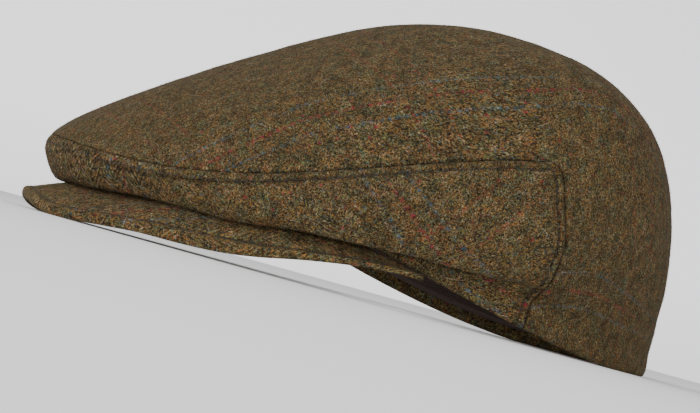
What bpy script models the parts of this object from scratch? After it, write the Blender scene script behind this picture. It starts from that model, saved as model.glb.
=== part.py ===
"""Flat cap in checked tweed, resting on its back rim and on the front edge of its peak.

The crown is one smooth surface round the head, cut into panels along its seams. Its sections
are rings: each has a reach in front and behind, a half width and a height at five stations
round the head. Metres, +Z up, peak towards -Y. The origin lies on the table under the middle.
"""
import math

import bmesh
import bpy
import numpy as np

# Hem: the outer edge of the rim, measured from the middle of the head
RIM_FRONT = 0.1035
RIM_BACK = 0.1125
RIM_HALF_WIDTH = 0.0885
RIM_WIDEST = 0.0030
RIM_RISE = 0.0260

# Crown: how far it hangs out over the hem in front and at the sides, how far its back stands
# in from the hem, and the place of its highest point
FRONT_OVERHANG = 0.0611
SIDE_OVERHANG = 0.0145
BACK_SET_IN = 0.0034
CROWN_HEIGHT = 0.1268
CROWN_TOP = 0.0175
WALL = 0.0022

# Peak: its depth in front of the hem, how far it flares out beside it, and the rest of its form
PEAK_DEPTH = 0.0630
PEAK_FLARE = 0.0020
PEAK_SPAN = 80.0
PEAK_THICKNESS = 0.0042
PEAK_CAMBER = 0.0034
PEAK_LIP = 0.0018
PEAK_ROOT = 0.0038

# Inside the rim
FACING_THICKNESS = 0.0015
FACING_HEIGHT = 0.0090
FACING_LEAN = 0.0012
BAND_THICKNESS = 0.0012
BAND_HEIGHT = 0.0300
BAND_SETBACK = 0.0055
BAND_LEAN = 0.0030

SEAM_GAP = 0.0006
PEAK_GAP = 0.0005
GAP = 0.0003

# The tables' stations are evenly spaced round the head: the middle of the front, 45, 90 and 135
# degrees and the middle of the back, or the front, the side and the back.

# Rows at the rim. front, back and side are shares of RIM_FRONT, RIM_BACK and RIM_HALF_WIDTH,
# and the heights are shares of RIM_RISE.
RIM_ROWS = (
    # name      front  back   side   heights at the stations
    ("hem",     1.000, 1.000, 1.000, (0.985, 1.010, 0.455, -0.012, -0.020)),
    ("crease",  1.034, 0.994, 1.015, (1.175, 1.130, 0.850, 0.350, 0.260)),
)

# Rows of the crown, from the underside of its overhang up to its seam. front, back and side
# are shares of CROWN_FRONT, CROWN_BACK and CROWN_HALF_WIDTH, widest is a share of CROWN_TOP,
# round is 2 for an ellipse in front, and the heights are shares of CROWN_HEIGHT.
SIDE_ROWS = (
    # name       front  back   side   widest round heights at the stations
    ("tuck",     0.799, 1.017, 0.908, 0.28, 1.95, (0.190, 0.188, 0.177, 0.120, 0.098)),
    ("fold",     0.940, 1.006, 0.951, 0.46, 1.90, (0.121, 0.124, 0.158, 0.206, 0.180)),
    ("bulge",    0.982, 1.000, 1.000, 0.74, 1.95, (0.171, 0.168, 0.302, 0.341, 0.299)),
    ("seam",     1.000, 0.941, 0.956, 0.80, 2.00, (0.246, 0.241, 0.558, 0.620, 0.547)),
)

# Rows above the seam, the same but with the rise from the seam to the top, at the front, the
# side and the back, as a share of the whole rise.
TOP_ROWS = (
    # name       front  back   side   widest round rise
    ("shoulder", 0.868, 0.845, 0.825, 0.83, 2.00, (0.212, 0.456, 0.380)),
    ("upper",    0.556, 0.636, 0.583, 0.91, 2.00, (0.585, 0.768, 0.740)),
    ("crest",    0.190, 0.395, 0.282, 0.97, 2.00, (0.925, 0.962, 0.908)),
)
SEAM_ROW = len(RIM_ROWS) + len(SIDE_ROWS) - 1
TOP_ROW = len(RIM_ROWS) + len(SIDE_ROWS) + len(TOP_ROWS)

# Line of the rear seam: the row that it crosses and its angle round the head
REAR_SEAM = ((0.0, 104.5), (2.0, 104.8), (3.0, 104.2), (4.0, 102.3), (4.5, 101.2), (4.75, 100.0),
             (4.9, 98.2), (5.0, 95.5))

# Peak, from its middle to its corner: height of the edge above the table as a share of
# RIM_RISE, and thickness as a share of PEAK_THICKNESS
PEAK_ROWS = (
    # station  edge    thickness
    (0.00,     0.165,  1.00),
    (0.25,     0.004,  1.00),
    (0.50,     0.090,  1.00),
    (0.75,     0.195,  0.95),
    (1.00,     0.530,  0.45),
)

# Columns from the front to the rear seam and from there to the back, and rows of the crown
SIDE_COLUMNS = 22
BACK_COLUMNS = 11
ROWS_BELOW_SEAM = (0, 0.5, 1, 1.4, 1.7, 2, 2.4, 2.75, 3, 3.25, 3.6, 4, 4.3, 4.6, 4.8, 4.92)
ROWS_ABOVE_SEAM = (5.3, 5.65, 6, 6.33, 6.67, 7, 7.33, 7.67, 8, 8.25, 8.5, 8.75)

# Reaches of the crown and the peak from the middle of the head
CROWN_FRONT = RIM_FRONT + FRONT_OVERHANG
CROWN_BACK = RIM_BACK - BACK_SET_IN
CROWN_HALF_WIDTH = RIM_HALF_WIDTH + SIDE_OVERHANG
PEAK_FRONT = RIM_FRONT + PEAK_DEPTH
PEAK_HALF_WIDTH = RIM_HALF_WIDTH + PEAK_FLARE

# The middle of the head lies this far behind the middle of the whole cap
HEAD_Y = (PEAK_FRONT - RIM_BACK) / 2

TWEED = (0.078, 0.056, 0.031, 1)
RIBBON = (0.030, 0.019, 0.016, 1)


def even_series(values, angle):
    """Value at an angle of the even cosine series through evenly spaced stations, 0 to 180."""
    order = np.arange(len(values))
    matrix = np.cos(np.outer(np.linspace(0, math.pi, len(values)), order))
    return float(np.cos(angle * order) @ np.linalg.solve(matrix, np.array(values)))


def egg(angle, front, back, side, widest, roundness):
    """Point of an egg-shaped outline: angle 0 at its front, 90 degrees at its widest place."""
    s = math.sin(angle)
    c = math.cos(angle)
    power = 2 / roundness if c > 0 else 1.0
    x = side * math.copysign(abs(s) ** power, s)
    if c > 0:
        return x, widest - (widest + front) * c ** power
    return x, widest - (back - widest) * c


def rim_point(row, angle):
    """Point of a row that follows the rim."""
    _, front, back, side, heights = row
    x, y = egg(angle, front * RIM_FRONT, back * RIM_BACK, side * RIM_HALF_WIDTH, RIM_WIDEST, 2.0)
    return np.array((x, y, max(0.0, even_series(heights, angle) * RIM_RISE)))


def side_point(row, angle):
    """Point of a row at the side of the crown."""
    _, front, back, side, widest, roundness, heights = row
    x, y = egg(angle, front * CROWN_FRONT, back * CROWN_BACK, side * CROWN_HALF_WIDTH,
               widest * CROWN_TOP, roundness)
    return np.array((x, y, even_series(heights, angle) * CROWN_HEIGHT))


def top_point(row, angle):
    """Point of a row above the seam."""
    x, y, _ = side_point(row, angle)
    seam = side_point(SIDE_ROWS[-1], angle)[2]
    return np.array((x, y, seam + (CROWN_HEIGHT - seam) * even_series(row[-1], angle)))


def section(angle):
    """Points up one section of the crown, hem to top, with a point beyond each end."""
    points = [rim_point(row, angle) for row in RIM_ROWS]
    points += [side_point(row, angle) for row in SIDE_ROWS]
    points += [top_point(row, angle) for row in TOP_ROWS]
    points.append(np.array((0.0, CROWN_TOP, CROWN_HEIGHT)))
    before = 2 * points[0] - points[1]
    beyond = top_point(TOP_ROWS[-1], angle + math.pi)
    return [before] + points + [beyond]


def along(points, row):
    """Smooth curve through the points of a section (centripetal Catmull-Rom) at a row number."""
    first = min(int(row), len(points) - 4)
    p0, p1, p2, p3 = points[first:first + 4]
    k1 = max(np.linalg.norm(p1 - p0), 1e-7) ** 0.5
    k2 = k1 + max(np.linalg.norm(p2 - p1), 1e-7) ** 0.5
    k3 = k2 + max(np.linalg.norm(p3 - p2), 1e-7) ** 0.5
    t = k1 + (row - first) * (k2 - k1)
    a1 = ((k1 - t) * p0 + t * p1) / k1
    a2 = ((k2 - t) * p1 + (t - k1) * p2) / (k2 - k1)
    a3 = ((k3 - t) * p2 + (t - k2) * p3) / (k3 - k2)
    b1 = ((k2 - t) * a1 + t * a2) / k2
    b2 = ((k3 - t) * a2 + (t - k1) * a3) / (k3 - k1)
    return ((k2 - t) * b1 + (t - k1) * b2) / (k2 - k1)


def crown_point(row, degrees):
    """Point of the crown's outer surface."""
    return along(section(math.radians(degrees)), row)


def inner_point(row, degrees):
    """Point of the crown's inner surface, one wall in from the outer surface, level at the hem."""
    if row >= TOP_ROW:
        return np.array((0.0, CROWN_TOP, CROWN_HEIGHT - WALL))
    up = crown_point(row + 0.01, degrees) - crown_point(max(row - 0.01, 0), degrees)
    round_head = crown_point(row, degrees + 0.2) - crown_point(row, degrees - 0.2)
    outwards = np.cross(round_head, up)
    if row == 0:
        outwards[2] = 0.0
    return crown_point(row, degrees) - WALL * outwards / np.linalg.norm(outwards)


def rear_seam(row):
    """Angle of the rear seam at a row, in degrees, on a smooth curve through its table."""
    rows = [r for r, _ in REAR_SEAM]
    angles = [a for _, a in REAR_SEAM]
    slopes = np.gradient(angles, rows)
    k = int(np.clip(np.searchsorted(rows, row, side="right") - 1, 0, len(rows) - 2))
    span = rows[k + 1] - rows[k]
    t = (row - rows[k]) / span
    return float((2 * t ** 3 - 3 * t ** 2 + 1) * angles[k] + (3 * t ** 2 - 2 * t ** 3) * angles[k + 1]
                 + span * ((t ** 3 - 2 * t ** 2 + t) * slopes[k] + (t ** 3 - t ** 2) * slopes[k + 1]))


def degrees_for(row, degrees, distance):
    """Change of angle that moves a point of the surface by a distance round the head."""
    step = np.linalg.norm(crown_point(row, degrees + 0.5) - crown_point(row, degrees - 0.5))
    return distance / step


def rows_for(row, degrees, distance):
    """Change of row that moves a point of the surface by a distance up its section."""
    step = np.linalg.norm(crown_point(row + 0.01, degrees) - crown_point(row - 0.01, degrees)) / 0.02
    return distance / step


def add_object(name, bm, colour, roughness, parent):
    """Object with its own material, parented to the middle of the head."""
    bmesh.ops.recalc_face_normals(bm, faces=bm.faces)
    mesh = bpy.data.meshes.new(name)
    bm.to_mesh(mesh)
    bm.free()
    mesh.shade_smooth()
    material = bpy.data.materials.new(name)
    material.use_nodes = True
    shader = material.node_tree.nodes["Principled BSDF"]
    shader.inputs["Base Color"].default_value = colour
    shader.inputs["Roughness"].default_value = roughness
    shader.inputs["Metallic"].default_value = 0.0
    mesh.materials.append(material)
    obj = bpy.data.objects.new(name, mesh)
    obj.parent = parent
    bpy.context.scene.collection.objects.link(obj)
    return obj


def grid_faces(bm, grid):
    """Faces between neighbouring rows and columns of vertices."""
    for lower, upper in zip(grid[:-1], grid[1:]):
        for k in range(len(lower) - 1):
            bm.faces.new((lower[k], lower[k + 1], upper[k + 1], upper[k]))


def thicken(bm, pairs):
    """Close a skin into a wall: pairs links each vertex to its vertex on the inner surface."""
    skin = list(bm.faces)
    border = [edge for edge in bm.edges if len(edge.link_faces) == 1]
    for face in skin:
        bm.faces.new([pairs[vertex] for vertex in reversed(face.verts)])
    for edge in border:
        a, b = edge.verts
        bm.faces.new((b, a, pairs[a], pairs[b]))


def side_panel(name, side, parent):
    """Side of the crown from the middle of the front to the rear seam, hem to top seam."""
    bm = bmesh.new()
    mirror = np.array((side, 1, 1))
    pairs = {}
    grid = []
    for row in ROWS_BELOW_SEAM + (SEAM_ROW,):
        start = degrees_for(row, 0, SEAM_GAP / 2)
        end = rear_seam(row) - degrees_for(row, rear_seam(row), SEAM_GAP / 2)
        line = []
        for column in range(SIDE_COLUMNS + 1):
            degrees = start + (end - start) * column / SIDE_COLUMNS
            here = row - rows_for(row, degrees, SEAM_GAP / 2) if row == SEAM_ROW else row
            vertex = bm.verts.new(mirror * crown_point(here, degrees))
            pairs[vertex] = bm.verts.new(mirror * inner_point(here, degrees))
            line.append(vertex)
        grid.append(line)
    grid_faces(bm, grid)
    thicken(bm, pairs)
    return add_object(name, bm, TWEED, 0.92, parent)


def top_columns(row):
    """Angles of the top panel's columns at a row, all round the head."""
    split = rear_seam(min(row, SEAM_ROW))
    split += degrees_for(row, split, SEAM_GAP / 2)
    front = [split * k / SIDE_COLUMNS for k in range(SIDE_COLUMNS)]
    back = [split + (180 - split) * k / BACK_COLUMNS for k in range(BACK_COLUMNS + 1)]
    half = front + back
    return [-a for a in reversed(half[1:])] + half[:-1]


def top_panel(parent):
    """Top and back of the crown in one piece, from the front down to the hem behind."""
    bm = bmesh.new()
    pairs = {}
    rings = []
    for row in (SEAM_ROW,) + ROWS_ABOVE_SEAM:
        ring = []
        for degrees in top_columns(row):
            here = row + rows_for(row, degrees, SEAM_GAP / 2) if row == SEAM_ROW else row
            vertex = bm.verts.new(crown_point(here, degrees))
            pairs[vertex] = bm.verts.new(inner_point(here, degrees))
            ring.append(vertex)
        rings.append(ring + ring[:1])
    grid_faces(bm, rings)
    crown = bm.verts.new((0, CROWN_TOP, CROWN_HEIGHT))
    pairs[crown] = bm.verts.new(inner_point(TOP_ROW, 0))
    for a, b in zip(rings[-1][:-1], rings[-1][1:]):
        bm.faces.new((a, b, crown))

    count = len(rings[0]) - 1
    back = [k % count for k in range(count - BACK_COLUMNS, count + BACK_COLUMNS + 1)]
    grid = []
    for row in ROWS_BELOW_SEAM:
        columns = top_columns(row)
        line = []
        for k in back:
            vertex = bm.verts.new(crown_point(row, columns[k]))
            pairs[vertex] = bm.verts.new(inner_point(row, columns[k]))
            line.append(vertex)
        grid.append(line)
    grid.append([rings[0][k] for k in back])
    grid_faces(bm, grid)
    thicken(bm, pairs)
    return add_object("top_panel", bm, TWEED, 0.92, parent)


def hem_point(degrees, inward, up):
    """Point beside the hem: inward from its outer edge and up from its height."""
    angle = math.radians(degrees)
    x, y, z = rim_point(RIM_ROWS[0], angle)
    ahead = rim_point(RIM_ROWS[0], angle + 0.01)
    behind = rim_point(RIM_ROWS[0], angle - 0.01)
    tangent = ahead - behind
    length = math.hypot(tangent[0], tangent[1])
    return x - inward * tangent[1] / length, y + inward * tangent[0] / length, z + up


def hoop(name, corners, colour, roughness, parent):
    """Closed strip round the inside of the rim; corners are its section as (inward, up)."""
    bm = bmesh.new()
    loops = []
    for degrees in top_columns(0):
        loops.append([bm.verts.new(hem_point(degrees, inward, up)) for inward, up in corners])
    for here, there in zip(loops, loops[1:] + loops[:1]):
        for a in range(len(corners)):
            b = (a + 1) % len(corners)
            bm.faces.new((here[a], here[b], there[b], there[a]))
    return add_object(name, bm, colour, roughness, parent)


def peak_share(column, station):
    """Value of a column of the peak's table at a station between its middle and its corner."""
    return even_series([row[column] for row in PEAK_ROWS], math.pi * abs(station))


def peak_section(station):
    """Loop of points round one section of the peak, from its root to its edge and back."""
    thickness = peak_share(2, station) * PEAK_THICKNESS
    root_x, root_y, root_z = hem_point(PEAK_SPAN * station, PEAK_ROOT, -PEAK_GAP - thickness)
    corner_y = hem_point(PEAK_SPAN, 0, 0)[1]
    edge_x, edge_y = egg(math.radians(90 * station), PEAK_FRONT, 0, PEAK_HALF_WIDTH, corner_y, 2.5)
    edge_z = peak_share(1, station) * RIM_RISE
    reach = math.hypot(edge_x - root_x, edge_y - root_y)
    lip = min(PEAK_LIP, 0.3 * reach) / reach
    camber = PEAK_CAMBER * (1 - station ** 2) ** 2
    upper = []
    lower = []
    for share in (0.0, 0.15, 0.3, 0.45, 0.6, 0.75, 0.88, 1 - lip, 1 - 0.3 * lip):
        x = root_x + (edge_x - root_x) * share
        y = root_y + (edge_y - root_y) * share
        flat = min(share / (1 - lip), 1.0)
        z = root_z + (edge_z - root_z) * flat + camber * 4 * flat * (1 - flat)
        slim = 0.14 * thickness if share > 1 - lip else 0.0
        upper.append((x, y, z + thickness - slim))
        lower.append((x, y, z + slim))
    edge = (edge_x, edge_y, edge_z + thickness / 2)
    return upper + [edge] + lower[::-1]


def peak(parent, columns=40):
    """Peak: a stiff curved tongue that starts under the hem and droops at its sides."""
    bm = bmesh.new()
    loops = []
    for k in range(columns + 1):
        station = 2 * k / columns - 1
        loops.append([bm.verts.new(p) for p in peak_section(station)])
    count = len(loops[0])
    for here, there in zip(loops[:-1], loops[1:]):
        for a in range(count):
            b = (a + 1) % count
            bm.faces.new((here[a], here[b], there[b], there[a]))
    for end in (loops[0], loops[-1]):
        for a in range(count // 2 - 1):
            bm.faces.new((end[a], end[a + 1], end[count - 2 - a], end[count - 1 - a]))
        a = count // 2 - 1
        bm.faces.new((end[a], end[a + 1], end[a + 2]))
    return add_object("peak", bm, TWEED, 0.92, parent)


def build():
    """Make the whole cap."""
    head = bpy.data.objects.new("head_middle", None)
    head.location = (0, HEAD_Y, 0)
    bpy.context.scene.collection.objects.link(head)

    top_panel(head)
    side_panel("side_panel_left", 1, head)
    side_panel("side_panel_right", -1, head)
    peak(head)

    outer = WALL + GAP
    inner = outer + FACING_THICKNESS
    hoop("hem_facing", ((outer, 0), (outer + FACING_LEAN, FACING_HEIGHT),
                        (inner + FACING_LEAN, FACING_HEIGHT), (inner, 0)), TWEED, 0.92, head)

    top = BAND_SETBACK + BAND_HEIGHT
    outer = inner + FACING_LEAN + GAP
    inner = outer + BAND_THICKNESS
    hoop("sweatband", ((outer, BAND_SETBACK), (outer + BAND_LEAN, top), (inner + BAND_LEAN, top),
                       (inner, BAND_SETBACK)), RIBBON, 0.75, head)


for old in list(bpy.data.objects):
    bpy.data.objects.remove(old, do_unlink=True)
build()
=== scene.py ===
"""Looks of a flat cap in checked tweed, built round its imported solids. Metres, peak towards -Y."""
import math

import bmesh
import bpy
import numpy as np
from mathutils import Matrix, Vector


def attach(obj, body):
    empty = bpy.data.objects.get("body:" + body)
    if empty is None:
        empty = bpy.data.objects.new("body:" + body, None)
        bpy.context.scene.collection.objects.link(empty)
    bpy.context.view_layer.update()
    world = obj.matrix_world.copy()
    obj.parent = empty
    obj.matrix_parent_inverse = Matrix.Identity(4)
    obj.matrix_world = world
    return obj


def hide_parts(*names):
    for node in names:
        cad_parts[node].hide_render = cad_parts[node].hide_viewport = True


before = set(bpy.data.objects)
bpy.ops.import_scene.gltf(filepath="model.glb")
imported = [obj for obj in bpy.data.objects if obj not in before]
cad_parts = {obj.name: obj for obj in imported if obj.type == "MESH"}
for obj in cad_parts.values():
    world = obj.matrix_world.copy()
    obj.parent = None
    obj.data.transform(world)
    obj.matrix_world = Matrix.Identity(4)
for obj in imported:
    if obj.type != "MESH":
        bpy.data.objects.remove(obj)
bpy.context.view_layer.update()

MM = 0.001

# Sizes of the cap, as in the part's source
RIM_FRONT = 0.1035
RIM_BACK = 0.1125
RIM_HALF_WIDTH = 0.0885
RIM_WIDEST = 0.0030
RIM_RISE = 0.0260
FRONT_OVERHANG = 0.0611
SIDE_OVERHANG = 0.0145
BACK_SET_IN = 0.0034
CROWN_HEIGHT = 0.1268
CROWN_TOP = 0.0175
WALL = 0.0022
PEAK_DEPTH = 0.0630
PEAK_FLARE = 0.0020
PEAK_SPAN = 80.0
PEAK_THICKNESS = 0.0042
PEAK_CAMBER = 0.0034
PEAK_LIP = 0.0018
PEAK_ROOT = 0.0038
PEAK_GAP = 0.0005
FACING_THICKNESS = 0.0015
FACING_HEIGHT = 0.0090
FACING_LEAN = 0.0012
BAND_THICKNESS = 0.0012
BAND_HEIGHT = 0.0300
BAND_SETBACK = 0.0055
BAND_LEAN = 0.0030
GAP = 0.0003
CROWN_FRONT = RIM_FRONT + FRONT_OVERHANG
CROWN_BACK = RIM_BACK - BACK_SET_IN
CROWN_HALF_WIDTH = RIM_HALF_WIDTH + SIDE_OVERHANG
PEAK_FRONT = RIM_FRONT + PEAK_DEPTH
PEAK_HALF_WIDTH = RIM_HALF_WIDTH + PEAK_FLARE
# The tables below have their origin at the middle of the head, this far behind the frame's
HEAD_Y = (PEAK_FRONT - RIM_BACK) / 2
HEAD = (0.0, HEAD_Y, 0.0)

# The part's tables: shares of the sizes above, with heights at even stations round the head from
# its front. The rim's back is fuller here by about a millimetre.
RIM_ROWS = (
    # front back   side   heights
    (1.000, 1.013, 1.000, (0.985, 1.010, 0.455, -0.012, -0.020)),
    (1.034, 1.003, 1.015, (1.175, 1.130, 0.850, 0.350, 0.260)),
)
SIDE_ROWS = (
    # front back   side   widest round heights
    (0.799, 1.017, 0.908, 0.28, 1.95, (0.190, 0.188, 0.177, 0.120, 0.098)),
    (0.940, 1.006, 0.951, 0.46, 1.90, (0.121, 0.124, 0.158, 0.206, 0.180)),
    (0.982, 1.000, 1.000, 0.74, 1.95, (0.171, 0.168, 0.302, 0.341, 0.299)),
    (1.000, 0.941, 0.956, 0.80, 2.00, (0.246, 0.241, 0.558, 0.620, 0.547)),
)
TOP_ROWS = (
    # front back   side   widest round rise
    (0.868, 0.845, 0.825, 0.83, 2.00, (0.212, 0.456, 0.380)),
    (0.556, 0.636, 0.583, 0.91, 2.00, (0.585, 0.768, 0.740)),
    (0.190, 0.395, 0.282, 0.97, 2.00, (0.925, 0.962, 0.908)),
)
SEAM_ROW = 5
TOP_ROW = 9
ROW_HEIGHT = 22 * MM
REAR_SEAM = (
    # row, degrees
    (0.0, 104.5), (2.0, 104.8), (3.0, 104.2), (4.0, 102.3),
    (4.5, 101.2), (4.75, 100.0), (4.9, 98.2), (5.0, 95.5),
)
# Height of the edge and thickness of the peak, at even stations from its middle
PEAK_ROWS = ((0.165, 1.00), (0.004, 1.00), (0.090, 1.00), (0.195, 0.95), (0.530, 0.45))

# Sewing
STITCH_INSET = 3.5 * MM
STITCH_PITCH = 3.4 * MM
STITCH_BOW = 0.34 * MM
STITCH_CLEARANCE = 0.14 * MM
REAR_DEPTH = 0.80 * MM
FRONT_DEPTH = 0.45 * MM
HEM_ROLL = 5.0 * MM

# Rows and columns of the surfaces
EDGE = 0.12 * MM
SEAM_STEPS = (0.12, 0.35, 0.65, 1.0, 1.4, 1.9, 2.4, 2.9, 3.3, 3.7, 4.2, 5.0, 6.2, 8.0)
HEM_STEPS = (0, 0.02, 0.06, 0.12, 0.22, 0.36, 0.52, 0.7, 0.85)
SIDE_STEP = 0.10
SIDE_STEPS_END = 3.6
SIDE_JOINING_ROWS = 14
SIDE_COLUMNS = 300
SIDE_MARGIN = 8.4 * MM
TOP_FRONT_COLUMNS = 105
TOP_BACK_COLUMNS = 74
TOP_RINGS = 58
LAST_RING = 8.93
BACK_STEP = 0.092
BACK_CROWDING = 1.25
RIM_COLUMNS = 360
PEAK_COLUMNS = 280
PEAK_FLAT = 16
# Distances from the peak's edge, in millimetres, at which its sections have points beside the seam
PEAK_CLOSE = np.array([4.8, 4.1, 3.6, 3.2, 2.8, 2.4, 2.0])
PEAK_STITCH = 2.8

CHECK_AXIS = (
    (-0.165, -0.070), (-0.105, -0.024), (-0.072, -0.0005), (-0.035, 0.0135), (0.006, 0.027),
    (0.028, 0.036), (0.041, 0.041), (0.055, 0.042), (0.075, 0.0365), (0.091, 0.031), (0.115, 0.022),
)
CHECK_RADIUS = 0.092
# Millimetres run lengthwise on the top: factors of 1, y, z, yz and yy, in tenths of a metre
CHECK_RUN = (81.8, 116.0, 57.2, -28.1, 19.4)
# Where the back begins, along Y
BACK_Y = 0.066
# Lay of the cloth on a side panel: the row of the strip it was cut along and the strip's radius
BAND_ROW = 4.4
BAND_BEND = 0.153
# Directions across the check's lengthwise and crosswise lines on a side panel, and where its two
# groups of lines and its crosswise pair lie, in millimetres
SIDE_ACROSS = (0.889, -0.458)
SIDE_ALONG = (0.50, 0.866)
SIDE_GROUPS = (61.0, 166.5)
SIDE_PAIR = -34.7
# Where the check's red line and crosswise pair lie in the peak's cloth, in millimetres
PEAK_CHECK = (62.0, -52.0)

# Millimetres of the cloth's pattern
REPEAT_ACROSS = 80.0
REPEAT_ALONG = 93.0
BLUE_OFFSET = 7.6
PAIR_OFFSET = 7.0
LINE_PITCH = 1.7
HERRINGBONE = 6.2
TWILL = 1.6
RIB = 1.02

# Heathered wool: shares of its colours, as the place where each begins
HEATHER = (
    (0.00, (0.015, 0.011, 0.007)),
    (0.14, (0.041, 0.027, 0.012)),
    (0.29, (0.030, 0.034, 0.019)),
    (0.43, (0.084, 0.050, 0.020)),
    (0.56, (0.176, 0.120, 0.038)),
    (0.69, (0.158, 0.082, 0.028)),
    (0.79, (0.086, 0.094, 0.050)),
    (0.855, (0.070, 0.098, 0.086)),
    (0.885, (0.165, 0.134, 0.078)),
    (0.925, (0.150, 0.030, 0.026)),
    (0.940, (0.045, 0.085, 0.110)),
    (0.953, (0.120, 0.158, 0.095)),
    (0.975, (0.260, 0.205, 0.118)),
)
RED = (0.230, 0.016, 0.034)
BLUE = (0.042, 0.105, 0.150)
RUST = (0.235, 0.028, 0.026)
BURLS = ((0.00, RED), (0.45, (0.050, 0.135, 0.150)), (0.72, (0.150, 0.170, 0.060)))
FIBRES = (
    (0.00, (0.030, 0.022, 0.013)),
    (0.22, (0.075, 0.052, 0.026)),
    (0.50, (0.140, 0.094, 0.046)),
    (0.72, (0.105, 0.100, 0.070)),
    (0.86, (0.205, 0.155, 0.092)),
    (0.97, (0.320, 0.272, 0.205)),
)
# Ribbon, from the grooves between its ribs to their tops; the grooves are painted darker, as painted
# shade between the ribs
RIBS_PAINTED_SHADE = ((0.0, (0.028, 0.018, 0.015)), (1.0, (0.056, 0.037, 0.031)))
# Tints of the cloth, from the twill's ground to its floats and from green patches to orange ones
WEAVE_TINTS = ((0.0, (0.87, 1.02, 1.02)), (1.0, (1.11, 0.98, 0.94)))
PATCH_TINTS = ((0.36, (0.81, 1.00, 1.04)), (0.50, (1.04, 1.0, 0.965)), (0.64, (1.24, 0.98, 0.93)))

CAMERA_AZIMUTH = 78.0
CAMERA_ELEVATION = -2.396
CAMERA_DISTANCE = 0.800
CAMERA_ROLL = 15.45
CAMERA_SENSOR = 36
CAMERA_LENS = CAMERA_SENSOR * 1848.0 / 700
CAMERA_AIM = (0.0, -0.03173 + HEAD_Y, 0.03745)
# Strength of the world at heights from the horizon to overhead: at the horizon it meets the floor's
SKY = ((0.0, 1.50), (0.05, 1.76), (0.12, 1.74), (1.0, 0.40))


# ---- curves and tables ----

def bell(distance, width):
    return np.exp(-(distance / width) ** 2)


def soft_step(value, low, high):
    t = np.clip((value - low) / (high - low), 0, 1)
    return t * t * (3 - 2 * t)


def unit(vectors):
    return vectors / np.linalg.norm(vectors, axis=-1, keepdims=True)


def run_length(points):
    """Distance run from the start of a line of points, or of each column of a grid of points."""
    steps = np.linalg.norm(np.diff(points, axis=0), axis=-1)
    return np.concatenate((np.zeros((1, *steps.shape[1:])), np.cumsum(steps, axis=0)))


def look_up(table, row, column):
    """Values between the entries of a table, at places counted in its rows and columns."""
    row = np.clip(row, 0, table.shape[0] - 1.001)
    column = np.clip(column, 0, table.shape[1] - 1.001)
    i, j = row.astype(int), column.astype(int)
    down, over = row - i, column - j
    return ((1 - down) * (1 - over) * table[i, j] + down * (1 - over) * table[i + 1, j]
            + (1 - down) * over * table[i, j + 1] + down * over * table[i + 1, j + 1])


def even_series(values, angle):
    """Values at angles of the even cosine series through evenly spaced stations, 0 to 180."""
    order = np.arange(len(values))
    matrix = np.cos(np.outer(np.linspace(0, math.pi, len(values)), order))
    return np.cos(np.asarray(angle)[..., None] * order) @ np.linalg.solve(matrix, np.array(values))


# ---- surface of the cap ----

def egg(angle, front, back, side, widest, roundness):
    """Points of an egg-shaped outline: angle 0 at its front, 90 degrees at its widest place."""
    s = np.sin(angle)
    c = np.cos(angle)
    power = np.where(c > 0, 2 / roundness, 1.0)
    x = side * np.sign(s) * np.abs(s) ** power
    ahead = widest - (widest + front) * np.maximum(c, 0) ** power
    behind = widest - (back - widest) * c
    return x, np.where(c > 0, ahead, behind)


def rim_point(row, angle):
    front, back, side, heights = row
    x, y = egg(angle, front * RIM_FRONT, back * RIM_BACK, side * RIM_HALF_WIDTH, RIM_WIDEST, 2.0)
    return np.stack((x, y, np.maximum(0.0, even_series(heights, angle) * RIM_RISE)), -1)


def side_point(row, angle):
    front, back, side, widest, roundness, heights = row
    x, y = egg(angle, front * CROWN_FRONT, back * CROWN_BACK, side * CROWN_HALF_WIDTH,
               widest * CROWN_TOP, roundness)
    return np.stack((x, y, even_series(heights, angle) * CROWN_HEIGHT), -1)


def top_point(row, angle):
    point = side_point(row, angle)
    seam = side_point(SIDE_ROWS[-1], angle)[..., 2]
    point[..., 2] = seam + (CROWN_HEIGHT - seam) * even_series(row[-1], angle)
    return point


def section(angle):
    """Points up the sections of the crown at some angles, with a point beyond each end."""
    points = [rim_point(row, angle) for row in RIM_ROWS]
    points += [side_point(row, angle) for row in SIDE_ROWS]
    points += [top_point(row, angle) for row in TOP_ROWS]
    points.append(np.broadcast_to((0.0, CROWN_TOP, CROWN_HEIGHT), points[0].shape))
    before = 2 * points[0] - points[1]
    beyond = top_point(TOP_ROWS[-1], angle + math.pi)
    return np.stack([before] + points + [beyond])


def spline(row, degrees):
    """Points of the part's crown at row numbers and angles (centripetal Catmull-Rom)."""
    row, degrees = np.broadcast_arrays(np.asarray(row, float), np.asarray(degrees, float))
    points = section(np.radians(degrees))
    first = np.clip(row.astype(int), 0, len(points) - 4)
    take = [np.take_along_axis(points, (first + k)[None, ..., None], 0)[0] for k in range(4)]
    p0, p1, p2, p3 = take
    knots = [np.zeros(row.shape)]
    for a, b in zip(take[:-1], take[1:]):
        step = np.maximum(np.linalg.norm(b - a, axis=-1), 1e-7) ** 0.5
        knots.append(knots[-1] + step)
    k0, k1, k2, k3 = (k[..., None] for k in knots)
    t = k1 + (row - first)[..., None] * (k2 - k1)

    def blend(a, b, start, end):
        return ((end - t) * a + (t - start) * b) / (end - start)

    a1, a2, a3 = blend(p0, p1, k0, k1), blend(p1, p2, k1, k2), blend(p2, p3, k2, k3)
    return blend(blend(a1, a2, k0, k2), blend(a2, a3, k1, k3), k1, k2)


def hang(turned):
    """How far the overhang's fold lies above the part's; in front it droops on to the peak."""
    side = soft_step(turned, 50, 64) * (1 - 0.45 * soft_step(turned, 78, 92))
    side = side * (1 - soft_step(turned, 104, 120))
    return 3.3 * MM * side - 1.7 * MM * (1 - soft_step(turned, 16, 38))


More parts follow.
